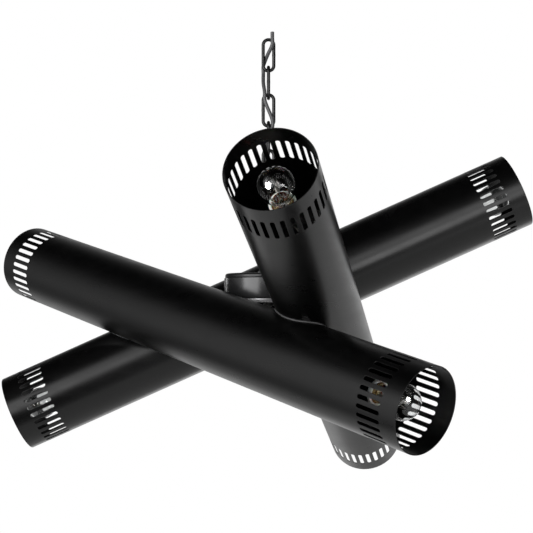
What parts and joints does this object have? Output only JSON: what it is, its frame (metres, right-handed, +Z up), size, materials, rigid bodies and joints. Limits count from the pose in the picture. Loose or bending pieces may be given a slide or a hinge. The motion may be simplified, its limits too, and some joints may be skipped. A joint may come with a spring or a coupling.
{
  "type": "pool table lamp",
  "caption": "Chain-hung pool table lamp: open black slotted tubes crossed like pick-up sticks under a round hub drum, a globe bulb in each tube end.",
  "frame": {"origin": "inner crown of the top chain link, where a ceiling hook carries the lamp", "axes": "+Z up along the chain, +X to the right and +Y to the back as the lamp is seen in its usual view; the lamp hangs below the origin"},
  "size_m": [0.8703, 0.8252, 0.7042],
  "materials": {
    "tube": "satin",
    "chain": "satin",
    "cord": "matte",
    "hub": "satin",
    "hub_plate": "satin",
    "zinc": "satin",
    "brass": "satin",
    "copper_shell": "satin",
    "porcelain": "gloss",
    "glass": "gloss",
    "filament": "satin",
    "wire_sleeve": "matte",
    "wire_nut": "matte",
    "bushing": "matte"
  },
  "bodies": {
    "chain_link_1": {"chain_link_1": "chain", "power_cord": "cord"},
    "chain_link_2": {"chain_link_2": "chain"},
    "chain_link_3": {"chain_link_3": "chain"},
    "chain_link_4": {"chain_link_4": "chain"},
    "chain_link_5": {"chain_link_5": "chain"},
    "chain_link_6": {"chain_link_6": "chain"},
    "chain_link_7": {"chain_link_7": "chain"},
    "lamp": {"hang_loop": "hub", "hub_lid": "hub", "hub_drum": "hub", "hub_base_plate": "hub_plate", "hub_nipple": "zinc", "hub_lock_nut": "zinc", "cord_bushing": "bushing", "wire_nut_1": "wire_nut", "wire_nut_2": "wire_nut", "tube_front": "tube", "tube_rear": "tube", "tube_side": "tube", "wire_harness_front": "wire_sleeve", "wire_harness_rear": "wire_sleeve", "wire_harness_side": "wire_sleeve", "socket_body_front_left_far": "porcelain", "socket_shell_front_left_far": "copper_shell", "socket_bracket_front_left_far": "hub", "socket_body_front_right_near": "porcelain", "socket_shell_front_right_near": "copper_shell", "socket_bracket_front_right_near": "hub", "socket_body_rear_left_low": "porcelain", "socket_shell_rear_left_low": "copper_shell", "socket_bracket_rear_left_low": "hub", "socket_body_rear_right_high": "porcelain", "socket_shell_rear_right_high": "copper_shell", "socket_bracket_rear_right_high": "hub", "socket_body_side_near_high": "porcelain", "socket_shell_side_near_high": "copper_shell", "socket_bracket_side_near_high": "hub", "socket_body_side_far_low": "porcelain", "socket_shell_side_far_low": "copper_shell", "socket_bracket_side_far_low": "hub"},
    "bulb_front_left_far": {"bulb_glass_front_left_far": "glass", "bulb_cap_front_left_far": "brass", "bulb_filament_front_left_far": "filament"},
    "bulb_front_right_near": {"bulb_glass_front_right_near": "glass", "bulb_cap_front_right_near": "brass", "bulb_filament_front_right_near": "filament"},
    "bulb_rear_left_low": {"bulb_glass_rear_left_low": "glass", "bulb_cap_rear_left_low": "brass", "bulb_filament_rear_left_low": "filament"},
    "bulb_rear_right_high": {"bulb_glass_rear_right_high": "glass", "bulb_cap_rear_right_high": "brass", "bulb_filament_rear_right_high": "filament"},
    "bulb_side_near_high": {"bulb_glass_side_near_high": "glass", "bulb_cap_side_near_high": "brass", "bulb_filament_side_near_high": "filament"},
    "bulb_side_far_low": {"bulb_glass_side_far_low": "glass", "bulb_cap_side_far_low": "brass", "bulb_filament_side_far_low": "filament"}
  },
  "joints": [
    {"name": "link_2_swing", "type": "hinge", "parent": "chain_link_1", "child": "chain_link_2", "pos_m": [0, 0, -0.04548], "axis": [1, 0, 0], "range_deg": [-20, 20], "deforming": ["power_cord"]},
    {"name": "link_3_swing", "type": "hinge", "parent": "chain_link_2", "child": "chain_link_3", "pos_m": [0, 0, -0.08828], "axis": [0, 1, 0], "range_deg": [-20, 20], "deforming": ["power_cord"]},
    {"name": "link_4_swing", "type": "hinge", "parent": "chain_link_3", "child": "chain_link_4", "pos_m": [0, 0, -0.13108], "axis": [1, 0, 0], "range_deg": [-20, 20], "deforming": ["power_cord"]},
    {"name": "link_5_swing", "type": "hinge", "parent": "chain_link_4", "child": "chain_link_5", "pos_m": [0, 0, -0.17388], "axis": [0, 1, 0], "range_deg": [-20, 20], "deforming": ["power_cord"]},
    {"name": "link_6_swing", "type": "hinge", "parent": "chain_link_5", "child": "chain_link_6", "pos_m": [0, 0, -0.21668], "axis": [1, 0, 0], "range_deg": [-20, 20], "deforming": ["power_cord"]},
    {"name": "link_7_swing", "type": "hinge", "parent": "chain_link_6", "child": "chain_link_7", "pos_m": [0, 0, -0.25948], "axis": [0, 1, 0], "range_deg": [-20, 20], "deforming": ["power_cord"]},
    {"name": "lamp_swing", "type": "hinge", "parent": "chain_link_7", "child": "lamp", "pos_m": [0, 0, -0.30228], "axis": [1, 0, 0], "range_deg": [-20, 20], "deforming": ["power_cord"]},
    {"name": "bulb_front_left_far_out", "type": "slide", "parent": "lamp", "child": "bulb_front_left_far", "axis": [-0.6879, 0.6845, 0.2416], "range_m": [0, 0.115]},
    {"name": "bulb_front_right_near_out", "type": "slide", "parent": "lamp", "child": "bulb_front_right_near", "axis": [0.6879, -0.6845, -0.2416], "range_m": [0, 0.115]},
    {"name": "bulb_rear_left_low_out", "type": "slide", "parent": "lamp", "child": "bulb_rear_left_low", "axis": [-0.9129, 0.0048, -0.4082], "range_m": [0, 0.115]},
    {"name": "bulb_rear_right_high_out", "type": "slide", "parent": "lamp", "child": "bulb_rear_right_high", "axis": [0.9129, -0.0048, 0.4082], "range_m": [0, 0.115]},
    {"name": "bulb_side_near_high_out", "type": "slide", "parent": "lamp", "child": "bulb_side_near_high", "axis": [-0.1936, -0.8735, 0.4468], "range_m": [0, 0.115]},
    {"name": "bulb_side_far_low_out", "type": "slide", "parent": "lamp", "child": "bulb_side_far_low", "axis": [0.1936, 0.8735, -0.4468], "range_m": [0, 0.115]}
  ]
}
